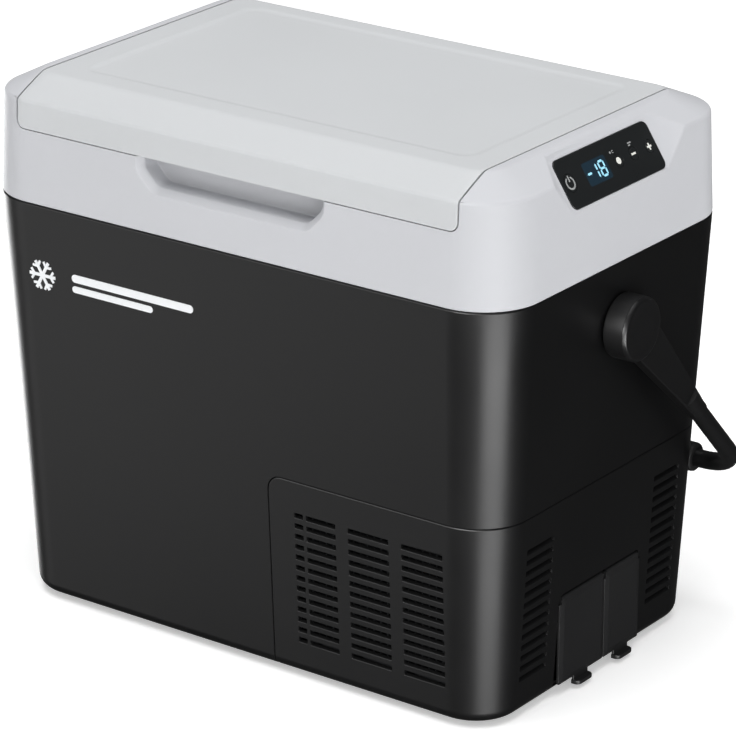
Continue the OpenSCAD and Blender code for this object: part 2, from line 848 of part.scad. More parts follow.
module ac_socket() {
    color("#202022") socket_barrel(ac_at, ac_r);
    color("#b0b2b4") for (y = [-4, 4]) translate([tray_x + 2, ac_at[0] + y, ac_at[1]])
        rotate([0, 90, 0]) cylinder(h = 12, r = 1.6);
}

module fuse_holder() {
    color("#202022") translate([tray_x - 14, fuse_at[0], fuse_at[1]]) rotate([0, 90, 0])
        cylinder(h = 26, r = fuse_r);
    color("#38383a") translate([tray_x + 12, fuse_at[0], fuse_at[1]]) rotate([0, 90, 0])
        cylinder(h = 4, r = fuse_r + 1.5);
}

module cover_pins() {
    color("#b0b2b4") for (s = [[-socket_half, cover_split + 1.1], [cover_split + 1.3, socket_half]])
        translate([barrel_x, s[0], barrel_z]) rotate([-90, 0, 0])
            cylinder(h = s[1] - s[0], r = cover_pin_r);
}

// one cover between y0 and y1: plate, hinge barrel on top and pull tab at the bottom
module socket_cover(y0, y1) {
    mid = (y0 + y1) / 2;
    difference() {
        union() {
            translate([cover_face - cover_t, 0, 0]) rotate([90, 0, 90]) linear_extrude(cover_t)
                round_rect(y0, socket_lo + 1.4, y1, barrel_z + 1.2, 3);
            translate([barrel_x, y0 + 2.6, barrel_z]) rotate([-90, 0, 0])
                cylinder(h = y1 - y0 - 5.2, r = barrel_r);
            translate([cover_face - cover_t, mid - tab_w / 2, socket_lo - 4.6])
                cube([tab_reach - cover_face + cover_t, tab_w, 3.4]);
            translate([cover_face - cover_t, mid - tab_w / 2, socket_lo - 4.6])
                cube([cover_t, tab_w, 8]);
        }
        translate([barrel_x, -far / 2, barrel_z]) rotate([-90, 0, 0])
            cylinder(h = far, r = cover_pin_r + running);
        for (y = ear_at) translate([cover_face - cover_t - 1, y - fit, barrel_z - 3.6])
            cube([10, ear_t + 2 * fit, 20]);
    }
}

module dc_cover() { color("#242426") socket_cover(-socket_half + 0.5, cover_split - 0.4); }
module ac_cover() { color("#242426") socket_cover(cover_split + 0.4, socket_half - 0.5); }

// ---------- cooling machine ----------

module compressor() {
    color("#1a1a1c") difference() {
        union() {
            translate([comp_x, comp_y, 0]) rotate_extrude() polygon([[0, 20], [comp_r - 14, 20],
                [comp_r - 4, 26], [comp_r, 36], [comp_r, 72], [comp_r + 2, 73], [comp_r + 2, 76],
                [comp_r, 77], [comp_r, 100], [comp_r - 5, 114], [comp_r - 16, 123], [0, 127]]);
            translate([comp_x, comp_y, 17]) linear_extrude(3.5)
                round_rect(-foot_x - 9, -foot_y - 9, foot_x + 9, foot_y + 9, 9);
            translate([comp_x + comp_r - 10, comp_y - 24, 60]) cube([26, 40, 34]);
        }
        for (x = [-1, 1], y = [-1, 1]) translate([comp_x + x * foot_x, comp_y + y * foot_y, 10])
            cylinder(h = 20, r = 5.1);
    }
}

module compressor_grommets() {
    color("#1c1c1c") for (x = [-1, 1], y = [-1, 1])
        translate([comp_x + x * foot_x, comp_y + y * foot_y, 0]) difference() {
            union() {
                translate([0, 0, floor_z + 0.1]) cylinder(h = 10.8, r = 8);
                translate([0, 0, floor_z + 10]) cylinder(h = 6, r = 5);
            }
            cylinder(h = 40, r = comp_bolt_r + 0.2);
        }
}

module compressor_bolts() {
    color("#b0b2b4") for (x = [-1, 1], y = [-1, 1])
        translate([comp_x + x * foot_x, comp_y + y * foot_y, 0]) {
            translate([0, 0, floor_z - 2]) cylinder(h = 21, r = comp_bolt_r);
            translate([0, 0, floor_z + 16.2]) cylinder(h = 1.5, r = 8);
            translate([0, 0, floor_z + 17.7]) cylinder(h = 4, r = 5, $fn = 6);
        }
}

module driver_module() {
    color("#3c3e42") {
        translate(driver) cube([32, 32, 60]);
        for (i = [0:5]) translate(driver + [-4, 1 + i * 5.6, 2]) cube([5, 1.6, 56]);
        translate([driver[0] + 1, driver[1] + 4, floor_z + 0.1]) cube([16, 22, 20]);
    }
}

module condenser() {
    color("#9fa2a6") {
        for (i = [0:fin_count - 1]) translate([cond_x + 4 + i * fin_pitch, cond_y, cond_z + 4])
            cube([0.8, cond_deep, cond_high - 6]);
        for (row = [0:5]) translate([cond_x, cond_y + cond_deep / 2, cond_z + 12 + row * 18])
            rotate([0, 90, 0]) cylinder(h = cond_len + 0.5, r = 3);
        for (x = [cond_x, cond_x + cond_len - cond_plate]) translate([x, cond_y, cond_z])
            cube([cond_plate, cond_deep, cond_high]);
        translate([cond_x, cond_y, cond_z]) cube([cond_len, cond_deep, cond_plate]);
        for (x = [54, 182]) translate([x, cond_y + cond_deep / 2, floor_z + 0.1])
            cube([4, cond_deep / 2, 19]);
    }
}

module fan_shroud() {
    color("#202022") translate([fan_x, fan_y, fan_z]) {
        difference() {
            translate([-fan_half, -12.5, -fan_half]) cube([2 * fan_half, 25, 2 * fan_half]);
            translate([0, 20, 0]) along_y() cylinder(h = 50, r = fan_bore);
        }
        for (i = [0:3]) rotate([0, i * 90 + 20, 0]) translate([15, 9, -2.5]) cube([fan_bore - 13, 3, 5]);
        translate([0, 12.5, 0]) along_y() cylinder(h = 4, r = 20);
        translate([0, 9, 0]) along_y() cylinder(h = 19, r = shaft_r);
    }
    color("#202022") for (x = [-1, 1]) translate([fan_x + x * 50 - 6, fan_y - 8, floor_z + 0.1])
        cube([12, 16, fan_z - fan_half - floor_z]);
}

module fan_rotor() {
    color("#2c2c2e") translate([fan_x, fan_y, fan_z]) difference() {
        union() {
            translate([0, 7.5, 0]) along_y() cylinder(h = 18.5, r = 20);
            for (i = [0:6]) rotate([0, i * 360 / 7, 0]) translate([17, -1.5, 0]) rotate([38, 0, 0])
                translate([0, -1, -11]) cube([37, 1.8, 22]);
        }
        translate([0, 20, 0]) along_y() cylinder(h = 30.5, r = shaft_r + running);
    }
}

module filter_drier() {
    color("#b87a4a") translate([160, -45, 0]) rotate_extrude() polygon([[0, 22], [3, 22], [3, 28],
        [9.5, 34], [9.5, 108], [3, 116], [3, 122], [0, 122]]);
}

module refrigerant_pipes() {
    color("#b87a4a") {
        pipe([[75, 45, 124.2], [75, 45, 138], [36, 45, 138], [36, -90, 138], [36, -111, 134],
            [36, -111, 126], [41.8, -111, 126]], 3);
        pipe([[190.2, -111, 36], [198, -111, 36], [196, -80, 16], [160, -45, 16], [160, -45, 21.8]], 2.5);
        pipe([[160, -45, 122.2], [160, -45, 140], [140, -60, 146], [60, -60, 146]], 1.6);
        pipe([[110, 45, 124.6], [110, 45, 149], [40, 90, 149]], 3);
    }
}

module wiring_harness() {
    color("#a03028") {
        pipe([[170, 82, 70], [170, 76, 90], [166, 60, 134], [115, -20, 141], [115, -76, 137.1]], 2);
        pipe([[169.6, -24, 40], [164, -24, 12], [166, 70, 12], [166, 82, 40]], 2);
    }
}

module cover_screws() {
    color("#b0b2b4") for (b = boss_at) translate([b[0], b[1], 0]) {
        translate([0, 0, foot_h - 2]) cylinder(h = 1.9, r = 2 * cover_screw_r);
        translate([0, 0, foot_h - 0.5]) cylinder(h = 15, r = cover_screw_r);
    }
}

outer_shell();
compressor_cover();
base_pan();
rubber_feet();
bulkhead();
foam_body();
inner_liner();
evaporator_wrap();
top_collar();
front_badge();
interior_light();
hinge_collar_leaves();
hinge_pins();
hinge_screws_collar();
catch_plates();
display_housing();
display_fascia();
lcd_module();
control_board();
pivot_plates();
pivot_bolts();
socket_housing();
dc_socket();
ac_socket();
fuse_holder();
cover_pins();
compressor();
compressor_grommets();
compressor_bolts();
driver_module();
condenser();
fan_shroud();
filter_drier();
refrigerant_pipes();
wiring_harness();
cover_screws();
lid_outer();
lid_inner();
lid_foam();
lid_gasket();
hinge_lid_leaves();
hinge_screws_lid();
catch_magnets();
handle_arm_left();
handle_arm_right();
handle_tube();
handle_grip();
hub_caps();
power_key();
set_key();
minus_key();
plus_key();
dc_cover();
ac_cover();
fan_rotor();
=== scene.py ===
import json
import math

import bmesh
import bpy
from mathutils import Matrix, Vector


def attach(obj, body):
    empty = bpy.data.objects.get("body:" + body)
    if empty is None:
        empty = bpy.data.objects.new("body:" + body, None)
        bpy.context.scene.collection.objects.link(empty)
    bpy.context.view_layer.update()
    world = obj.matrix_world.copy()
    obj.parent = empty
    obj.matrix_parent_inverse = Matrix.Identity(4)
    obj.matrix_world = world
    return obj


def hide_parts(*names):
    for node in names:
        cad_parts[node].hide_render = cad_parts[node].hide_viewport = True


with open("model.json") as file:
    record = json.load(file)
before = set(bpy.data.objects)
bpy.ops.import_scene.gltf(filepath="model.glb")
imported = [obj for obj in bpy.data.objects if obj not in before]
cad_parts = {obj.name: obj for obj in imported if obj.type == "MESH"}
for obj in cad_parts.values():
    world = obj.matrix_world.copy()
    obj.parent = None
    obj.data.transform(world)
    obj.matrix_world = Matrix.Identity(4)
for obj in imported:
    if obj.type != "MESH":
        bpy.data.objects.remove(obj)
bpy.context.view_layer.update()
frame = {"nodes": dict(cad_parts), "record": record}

# Shapes are written in millimetres, in the frame of the CAD model, and scaled when a mesh is made.
MM = 0.001
FAR = 400.0             # well outside the cooler
SEGS = 14               # segments in a quarter circle of a corner

# ---------- sizes shared with the CAD model ----------

JOINTS = {joint["name"]: joint for joint in frame["record"]["behaviour"]["joints"]}


def joint_at(name):
    """Where a joint of the record is."""
    return tuple(round(c / MM, 3) for c in JOINTS[name]["pos_m"])


PART_Z = 318.0                      # parting line between casing and collar
HALF_X, HALF_Y = 230.0, 150.0       # half sizes at the parting line
DRAFT_X, DRAFT_Y = 16.6, 15.8       # how far the casing draws in on its way down to the floor
CORNER, CORNER_TAPER = 45.0, 10.0
WALL = 3.0
SEAM = 0.4
FOOT_H = 3.0
BOTTOM_FILLET = 9.0
BAY_X, BAY_Z, BAY_CORNER = 27.0, 156.0, 12.0    # left edge, top and corner of the compressor cover
CREASE_Z, TOP_Z = 394.0, 408.0
LEAN = 3.0                          # how far the collar leans in between parting line and crease
TOP_X, TOP_FRONT, TOP_BACK, TOP_CORNER = 200.0, 120.0, 115.0, 20.0
DECK_Z = 372.2                      # the collar's deck under the lid
LID_HALF, LID_LOW, LID_CORNER = 192.0, 372.8, 6.0
RECESS_HALF, RECESS_Z = 78.0, 352.0
PANEL_AT, PANEL_TILT = (217.2, 0, 385.5), 56.5
PANEL = Matrix.Translation(PANEL_AT) @ Matrix.Rotation(math.radians(PANEL_TILT), 4, "Y")
FASCIA_H, FASCIA_W, FASCIA_R = 36.5, 117.0, 5.0
FASCIA_T, FASCIA_PROUD = 1.5, 0.8
POWER_AT, DIGITS_AT, KEYS_AT = -49.5, -14.5, (10.5, 29.5, 49.5)
POWER_R, KEY_R, KEY_FIT = 6.5, 4.8, 0.3
HANDLE_AT, HANDLE_DROP = joint_at("handle_swing"), 46.0
PIVOT = Matrix.Translation(HANDLE_AT) @ Matrix.Rotation(math.radians(-HANDLE_DROP), 4, "X")
HUB_R, HUB_OUT, CAP_T = 23.5, 248.5, 3.0
ARM_X, ARM_IN, ARM_TIP, ARM_TIP_R = 241.5, 236.0, 118.0, 7.6
SOCKET_END = 125.0
HANDLE_LEN, BEND_R, TUBE_R, GRIP_R, GRIP_HALF = 220.0, 35.0, 6.8, 11.0, 202.0
COVER_FACE, COVER_T = 218.6, 2.8    # outer face and thickness of a socket cover
BARREL_X, _, BARREL_Z = joint_at("dc_cover_hinge")


def half_x(z):
    return HALF_X - DRAFT_X * (PART_Z - z) / PART_Z


def half_y(z):
    return HALF_Y - DRAFT_Y * (PART_Z - z) / PART_Z


def corner(z):
    return CORNER - CORNER_TAPER * (PART_Z - z) / PART_Z


# ---------- mesh tools ----------

WELD = 0.02             # points closer than this become one
CREASE_ANGLE = 38       # edges sharper than this shade as sharp


def mesh_object(name, verts, faces, matrix=None):
    mesh = bpy.data.meshes.new(name)
    place = matrix or Matrix.Identity(4)
    mesh.from_pydata([tuple(MM * c for c in place @ Vector(v)) for v in verts], [], faces)
    bm = bmesh.new()
    bm.from_mesh(mesh)
    bmesh.ops.remove_doubles(bm, verts=bm.verts, dist=1e-7)
    bmesh.ops.recalc_face_normals(bm, faces=bm.faces)
    bm.to_mesh(mesh)
    bm.free()
    obj = bpy.data.objects.new(name, mesh)
    bpy.context.scene.collection.objects.link(obj)
    return obj


def loft(name, rings, matrix=None):
    """Closed solid through rings of equal length, capped at both ends."""
    n = len(rings[0])
    faces = []
    for k in range(len(rings) - 1):
        for i in range(n):
            j = (i + 1) % n
            faces.append((k * n + i, k * n + j, (k + 1) * n + j, (k + 1) * n + i))
    faces.append(tuple(reversed(range(n))))
    faces.append(tuple((len(rings) - 1) * n + i for i in range(n)))
    return mesh_object(name, [p for ring in rings for p in ring], faces, matrix)


def outline(x0, x1, y0, y1, radii, segs=SEGS):
    """Rounded rectangle as (x, y) points; radii run from (x1, y1) counter-clockwise, or one for all."""
    if not isinstance(radii, (tuple, list)):
        radii = (radii,) * 4
    corners = ((x1, y1, -1, -1), (x0, y1, 1, -1), (x0, y0, 1, 1), (x1, y0, -1, 1))
    points = []
    for q, (x, y, sx, sy) in enumerate(corners):
        r = max(radii[q], 0.05)
        for i in range(segs + 1):
            a = math.radians(90 * (q + i / segs))
            points.append((x + sx * r + r * math.cos(a), y + sy * r + r * math.sin(a)))
    return points


def centred(x, y, r):
    """Rounded rectangle about the middle, from half sizes."""
    return outline(-x, x, -y, y, r)


def level(v):
    """Ring at one height; v is (half length, front, back, corner radius, height)."""
    x, front, back, r, z = v
    return [(px, py, z) for px, py in outline(-x, x, -front, back, r)]


def disc(u, v, r, segs=28):
    angles = [math.tau * i / segs for i in range(segs)]
    return [(u + r * math.cos(a), v + r * math.sin(a)) for a in angles]


def mixed(a, b, t):
    return tuple(p + (q - p) * t for p, q in zip(a, b))


def bent(a, c, b, steps):
    """Points on the curve from a to b that c pulls."""
    return [mixed(mixed(a, c, i / steps), mixed(c, b, i / steps), i / steps) for i in range(steps + 1)]


def softened(path, cuts, steps=5):
    """A path of levels whose inner corners are rounded, each over its cut length."""
    def span(a, b):
        return Vector((a[1] - b[1], a[-1] - b[-1])).length

    out = [path[0]]
    for before, here, after, cut_length in zip(path, path[1:], path[2:], cuts):
        out += bent(mixed(here, before, cut_length / span(before, here)), here,
                    mixed(here, after, cut_length / span(after, here)), steps)
    return out + [path[-1]]


def prism(name, points, a, b, axis="Z", matrix=None):
    """Closed solid of a flat outline between a and b along an axis."""
    turn = {"Z": lambda p, q, w: (p, q, w), "Y": lambda p, q, w: (p, w, q), "X": lambda p, q, w: (w, p, q)}
    return loft(name, [[turn[axis](p, q, w) for p, q in points] for w in (a, b)], matrix)


def lathe(name, profile, segs, matrix=None):
    """Closed solid of revolution about local x, from (x, r) points."""
    return loft(name, [[(x, p, q) for p, q in disc(0, 0, r, segs)] for x, r in profile], matrix)


def sweep(name, points, r, segs, matrix=None):
    """Round tube through points that lie in the local xy plane."""
    rings = []
    for k, p in enumerate(points):
        ahead = Vector(points[min(k + 1, len(points) - 1)]) - Vector(points[max(k - 1, 0)])
        side = Vector((-ahead.y, ahead.x, 0)).normalized()
        up = Vector((0, 0, 1))
        rings.append([tuple(Vector(p) + side * c + up * s) for c, s in disc(0, 0, r, segs)])
    return loft(name, rings, matrix)


def applied(obj):
    """Replaces the object's mesh by what its modifiers make of it."""
    graph = bpy.context.evaluated_depsgraph_get()
    made = bpy.data.meshes.new_from_object(obj.evaluated_get(graph))
    obj.modifiers.clear()
    old, obj.data = obj.data, made
    bpy.data.meshes.remove(old)
    return obj


def joined(objs):
    """One object from several whose solids don't touch."""
    bm = bmesh.new()
    for o in objs:
        bm.from_mesh(o.data)
    bm.to_mesh(objs[0].data)
    bm.free()
    for o in objs[1:]:
        bpy.data.objects.remove(o)
    return objs[0]


def solid(obj, operation, *others):
    for other in others:
        mod = obj.modifiers.new("solid", "BOOLEAN")
        mod.operation, mod.solver, mod.object = operation, "EXACT", other
        applied(obj)
        bpy.data.objects.remove(other)
    return obj


def cut(obj, *others):
    return solid(obj, "DIFFERENCE", *others)


def rounded(obj, width, angle, segments=3):
    """Rounds every edge sharper than the angle."""
    mod = obj.modifiers.new("edge", "BEVEL")
    mod.width, mod.segments, mod.limit_method = width * MM, segments, "ANGLE"
    mod.angle_limit, mod.use_clamp_overlap = math.radians(angle), False
    return applied(obj)


def neat(obj, edge=0.0):
    """Rounds the sharp edges a little and gives the surface clean normals."""
    bm = bmesh.new()
    bm.from_mesh(obj.data)
    bmesh.ops.remove_doubles(bm, verts=bm.verts, dist=WELD * MM)
    bmesh.ops.dissolve_degenerate(bm, dist=WELD / 2 * MM, edges=bm.edges)
    bmesh.ops.dissolve_limit(bm, angle_limit=math.radians(0.3), verts=bm.verts, edges=bm.edges)
    bm.to_mesh(obj.data)
    bm.free()
    if edge:
        mod = obj.modifiers.new("edge", "BEVEL")
        mod.width, mod.segments, mod.limit_method = edge * MM, 2, "ANGLE"
        mod.angle_limit, mod.use_clamp_overlap = math.radians(32), False
        mod.miter_outer = "MITER_ARC"
        applied(obj)
    bm = bmesh.new()
    bm.from_mesh(obj.data)
    for f in bm.faces:
        f.smooth = True
    for e in bm.edges:
        e.smooth = not (len(e.link_faces) == 2 and e.calc_face_angle(0) > math.radians(CREASE_ANGLE))
    bm.to_mesh(obj.data)
    bm.free()
    mod = obj.modifiers.new("normals", "WEIGHTED_NORMAL")
    mod.keep_sharp, mod.weight = True, 80
    return obj


# ---------- materials ----------

def linear(rgb):
    return tuple((c / 255 / 12.92) if c / 255 <= 0.04045 else ((c / 255 + 0.055) / 1.055) ** 2.4 for c in rgb)


def shader_node(tree, kind, **values):
    """A new node with some inputs set; an underscore in a name stands for a space."""
    made = tree.nodes.new("ShaderNode" + kind)
    for name, value in values.items():
        made.inputs[name.replace("_", " ")].default_value = value
    return made


def sum_of(tree, a, b):
    added = shader_node(tree, "Math")
    added.operation = "ADD"
    tree.links.new(a, added.inputs[0])
    tree.links.new(b, added.inputs[1])
    return added.outputs[0]


def scaled(tree, a, factor):
    times = shader_node(tree, "Math")
    times.operation = "MULTIPLY"
    times.inputs[1].default_value = factor
    tree.links.new(a, times.inputs[0])
    return times.outputs[0]


def material(name, rgb, rough, metal=0.0, grain=1500, bump=0.12, depth=0.15, mottle=9, tint=0.05,
             spread=0.06, stretch=(1, 1, 1), specular=0.5, cells=False, glow=None, coat=0.0):
    """Procedural surface: slow colour drift, fine grain in the height, and a varied roughness."""
    mat = bpy.data.materials.new(name)
    mat.use_nodes = True
    tree = mat.node_tree
    links = tree.links
    bsdf = tree.nodes["Principled BSDF"]
    where = shader_node(tree, "TexCoord").outputs["Object"]
    stretched = shader_node(tree, "Mapping", Scale=stretch)
    links.new(where, stretched.inputs["Vector"])
    slow = shader_node(tree, "TexNoise", Scale=mottle, Detail=4)
    links.new(where, slow.inputs["Vector"])
    fine = shader_node(tree, "TexVoronoi", Scale=grain) if cells else \
        shader_node(tree, "TexNoise", Scale=grain, Detail=3)
    links.new(stretched.outputs["Vector"], fine.inputs["Vector"])
    height = fine.outputs["Distance" if cells else "Fac"]
    pattern = sum_of(tree, scaled(tree, height, 0.35), slow.outputs["Fac"])

    ramp = shader_node(tree, "ValToRGB")
    dark, light = ramp.color_ramp.elements
    dark.position, light.position = 0.35, 1.0
    dark.color = tuple(c * (1 - tint) for c in linear(rgb)) + (1,)
    light.color = tuple(min(1, c * (1 + tint)) for c in linear(rgb)) + (1,)
    links.new(pattern, ramp.inputs["Fac"])
    links.new(ramp.outputs["Color"], bsdf.inputs["Base Color"])
    wear = shader_node(tree, "MapRange", From_Min=0.3, From_Max=1.1, To_Min=rough - spread,
                       To_Max=rough + spread)
    links.new(pattern, wear.inputs["Value"])
    links.new(wear.outputs["Result"], bsdf.inputs["Roughness"])
    bumped = shader_node(tree, "Bump", Strength=bump, Distance=depth * MM)
    links.new(height, bumped.inputs["Height"])
    links.new(bumped.outputs["Normal"], bsdf.inputs["Normal"])

    bsdf.inputs["Metallic"].default_value = metal
    bsdf.inputs["Specular IOR Level"].default_value = specular
    bsdf.inputs["Coat Weight"].default_value = coat
    if glow:
        bsdf.inputs["Emission Color"].default_value = linear(glow[:3]) + (1,)
        bsdf.inputs["Emission Strength"].default_value = glow[3]
    return mat


# one look for each material slot of the record
SURFACES = {
    "casing_black": dict(rgb=(13, 13, 14), rough=0.38, tint=0.10, grain=1300, bump=0.16, specular=0.30),
    "collar_grey": dict(rgb=(193, 194, 198), rough=0.50, tint=0.012, bump=0.10, specular=0.15),
    "lid_grey": dict(rgb=(195, 197, 199), rough=0.50, tint=0.012, bump=0.10, specular=0.15),
    "liner_pale": dict(rgb=(214, 216, 218), rough=0.30, tint=0.015, bump=0.05),
    "foam": dict(rgb=(228, 212, 160), rough=0.85, tint=0.08, grain=420, cells=True, bump=0.6, depth=0.6),
    "steel": dict(rgb=(176, 178, 182), rough=0.30, metal=1.0, tint=0.06, grain=900, stretch=(1, 12, 12),
                  bump=0.05),
    "aluminium": dict(rgb=(168, 170, 174), rough=0.46, metal=1.0, tint=0.07, grain=700, stretch=(9, 9, 1),
                      bump=0.06),
    "rubber_black": dict(rgb=(24, 24, 24), rough=0.72, tint=0.14, grain=1000, bump=0.25, specular=0.3),
    "fascia_black": dict(rgb=(27, 29, 30), rough=0.30, tint=0.08, grain=2200, bump=0.04, spread=0.04,
                         specular=0.4),
    "key_black": dict(rgb=(28, 30, 31), rough=0.36, tint=0.08, grain=1800, bump=0.08, specular=0.35),
    "handle_black": dict(rgb=(15, 15, 16), rough=0.42, tint=0.10, grain=1200, bump=0.16, specular=0.35),
    "badge_white": dict(rgb=(232, 234, 236), rough=0.45, tint=0.02, grain=1600, bump=0.06),
    "gasket_grey": dict(rgb=(74, 76, 78), rough=0.62, tint=0.08, grain=900, bump=0.18),
    "copper": dict(rgb=(186, 122, 82), rough=0.34, metal=1.0, tint=0.22, grain=500, bump=0.08, mottle=40),
    "board_green": dict(rgb=(30, 96, 56), rough=0.42, tint=0.25, grain=260, cells=True, bump=0.2, depth=0.3),
    "compressor_black": dict(rgb=(22, 22, 24), rough=0.38, tint=0.12, grain=500, bump=0.14, coat=0.2),
    "wire_red": dict(rgb=(150, 44, 36), rough=0.44, tint=0.10, grain=800, bump=0.12),
    "lamp_white": dict(rgb=(240, 240, 230), rough=0.35, tint=0.02, grain=600, bump=0.10),
    "display_dark": dict(rgb=(22, 28, 34), rough=0.22, tint=0.10, grain=1500, bump=0.04),
}
LOOKS = {slot: material(slot, **surface) for slot, surface in SURFACES.items()}

# looks of single pieces
# the condenser is dark grey metal rather than bare aluminium, so what shows through the vents stays dark:
# partly a condenser painted black, partly painted shade inside the vents
CONDENSER = material("condenser_dark_painted_shade", (62, 63, 65), 0.55, 1.0, tint=0.08, grain=700, stretch=(9, 9, 1),
                     bump=0.06)
COVER = material("cover_black", (28, 28, 29), 0.42, tint=0.10, grain=1300, bump=0.16, specular=0.30)
CAP = material("cap_gloss", (16, 16, 17), 0.30, tint=0.10, grain=1200, bump=0.06, spread=0.04, specular=0.45)
GRIP = material("grip_soft", (22, 22, 23), 0.62, tint=0.14, grain=900, bump=0.35, depth=0.25, specular=0.3)
# white print that also glows faintly, though the keys hold no lamp: painted light on the print
GLOWING_PRINT_WHITE = material("print_white_painted_glow", (214, 214, 208), 0.5, tint=0.04, grain=1800, bump=0.05,
                       glow=(214, 214, 208, 0.12))
PRINT_GREY = material("print_grey", (150, 152, 152), 0.5, tint=0.05, grain=1800, bump=0.05)
DIGIT = material("digit_cyan", (150, 205, 225), 0.4, tint=0.05, grain=1500, bump=0.04,
                 glow=(120, 190, 215, 0.38))
WINDOW = material("digit_window", (22, 34, 42), 0.3, tint=0.15, grain=1500, bump=0.04, glow=(24, 62, 84, 0.2))
FLOOR = material("floor_pale", (247, 247, 247), 0.8, tint=0.01, grain=300, bump=0.02, specular=0.1,
                 glow=(255, 255, 255, 0.38))


def dressed(obj, look):
    obj.data.materials.clear()
    obj.data.materials.append(look)
    return obj


for part in frame["record"]["subparts"]:
    node = frame["nodes"][part["node"]]
    look = CONDENSER if part["node"] == "condenser" else LOOKS[part["material_slot"]]
    if not node.data.materials:
        node.data.materials.append(look)
    for k in range(len(node.data.materials)):
        node.data.materials[k] = look


def placed(obj, body, slot, nodes=(), look=None):
    """Puts the surface on a finished piece, and says what it moves with and stands for."""
    dressed(obj, look or LOOKS[slot])
    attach(obj, body)
    if nodes:
        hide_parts(*nodes)
    return obj


# ---------- casing ----------

BELOW = -10.0           # under the floor
PIVOT_HOLE_R = 8.3


def casing_rings(z_top, inset, fillet):
    """Rings up the outside of the casing, then down its inside."""
    steps = []          # how far in from the outer face, and how high
    for k in range(9):
        a = math.radians(90 * k / 8)
        steps.append((fillet * (1 - math.sin(a)), FOOT_H + fillet * (1 - math.cos(a))))
    steps += [(0, z_top - 1.0), (0.25, z_top - 0.35), (0.9, z_top)]
    low = FOOT_H + inset
    steps += [(inset, z_top), (inset, low + fillet), (inset + 0.3 * fillet, low + 0.3 * fillet),
              (inset + fillet, low)]
    return [level((half_x(z) - d, half_y(z) - d, half_y(z) - d, corner(z) - d, z)) for d, z in steps]


def bay_outline(g):
    """The bay seen from the front, grown by g, with its round upper corner."""
    x, z, r = BAY_X - g, BAY_Z + g, BAY_CORNER + g
    points = [(FAR, BELOW), (FAR, z), (x + r, z)]
    for i in range(1, SEGS + 1):
        a = math.radians(90 + 90 * i / SEGS)
        points.append((x + r + r * math.cos(a), z - r + r * math.sin(a)))
    return points + [(x, BELOW)]


def bay_prism(g):
    return prism("bay", bay_outline(g), -FAR, FAR, "Y")


def pivot_hole(sign):
    r = PIVOT_HOLE_R
    return prism("hole", centred(r, r, r), sign * (HALF_X - 30), sign * (HALF_X + 10), "X",
                 Matrix.Translation(HANDLE_AT))


shell = loft("casing_shell", casing_rings(PART_Z - SEAM, WALL, BOTTOM_FILLET))
cut(shell, bay_prism(0), joined([pivot_hole(-1), pivot_hole(1)]))
placed(neat(shell, 0.55), "cabinet", "casing_black", ["outer_shell"])

# ---------- compressor cover with its louvres ----------

COVER_GAP = 0.15        # seam round the cover
COVER_EDGE = 1.4        # rounding of the cover's edge along the seam, which catches the light
SLOT_Z, SLOT_PITCH, SLOT_H, SLOT_ROWS = 29.0, 8.2, 4.0, 13
LIP_FRONT, LIP_BACK, LIP_END = 1.3, 3.1, 2.2    # how far a slot's lower face rises through the wall
FRONT_SLOTS = ((50, 57.6), (60.4, 86), (97, 132), (143, 178))
BACK_SLOTS = ((50, 86), (97, 132), (143, 178))
END_SLOTS = ((-98, -65), (65, 98))
OPENING_HALF, OPENING_LOW, OPENING_HIGH = 52.7, 7.7, 79.3   # behind the socket covers


def slot_cutter(z, a, b, wall_at, out, axis, lip):
    """One slot from a to b; wall_at is where the wall's outer face is, out the way it faces."""
    outside, slope_end, inside = wall_at + out * 5, wall_at - out * 3.2, wall_at - out * 12
    foot = z - 0.02
    section = [(outside, foot), (outside, z + SLOT_H), (inside, z + SLOT_H), (inside, z + lip),
               (slope_end, z + lip), (wall_at, foot)]
    if axis == "X":     # the slot runs along x, so the section lies in yz
        return loft("slot", [[(w, p, q) for p, q in section] for w in (a, b)])
    return loft("slot", [[(p, w, q) for p, q in section] for w in (a, b)])


cover = loft("compressor_hood", casing_rings(PART_Z - 20, WALL, BOTTOM_FILLET))
rounded(solid(cover, "INTERSECT", bay_prism(-COVER_GAP)), COVER_EDGE, 50)
cutters = []
for row in range(SLOT_ROWS):
    slot_z = SLOT_Z + row * SLOT_PITCH
    cutters += [slot_cutter(slot_z, a, b, -half_y(slot_z), -1, "X", LIP_FRONT) for a, b in FRONT_SLOTS]
    cutters += [slot_cutter(slot_z, a, b, half_y(slot_z), 1, "X", LIP_BACK) for a, b in BACK_SLOTS]
    cutters += [slot_cutter(slot_z, a, b, half_x(slot_z), 1, "Y", LIP_END) for a, b in END_SLOTS]
opening = outline(-OPENING_HALF, OPENING_HALF, OPENING_LOW, OPENING_HIGH, (6, 6, 0.5, 0.5))
cutters.append(prism("opening", opening, HALF_X - 40, HALF_X + 30, "X"))
cut(cover, joined(cutters))
placed(neat(cover, 0.35), "cabinet", "casing_black", ["compressor_cover"])

# ---------- grey collar ----------

SOFT_EDGE = 2.1         # rounding of the crease and the brim
POCKET_EDGE = 0.75      # the rim of the display's pocket is rounded by this much of that
FOOT_ROUND = 1.7        # rounding of the collar's lower edge
SOFT_FROM = 355.0       # only edges above this height are rounded by SOFT_EDGE
SHOWN_GAP = 1.3         # the gap round the lid, wide enough to show as a line
POCKET_HALF, POCKET_FLARE, POCKET_RISE = 60.5, 1.7, 45.0    # half width, how much it widens as it rises
RECESS_BACK = -130.4    # the photo shows the recess a little deeper than the CAD model has it
RECESS_CHAMFER, RECESS_ROUND = 12.0, 4.5
LIP_R = 5.0             # the recess opens to the wall through a chamfer of this size
NEST_FIT = 0.3          # clearance of the nest that the fascia sits in
MOUTH_X, MOUTH_Y, MOUTH_R = 174.0, 103.0, 20.0      # opening to the food space
HOLLOW_X, HOLLOW_Y, HOLLOW_R = 186.0, 118.0, 26.0   # space under the deck for the foam and the liner


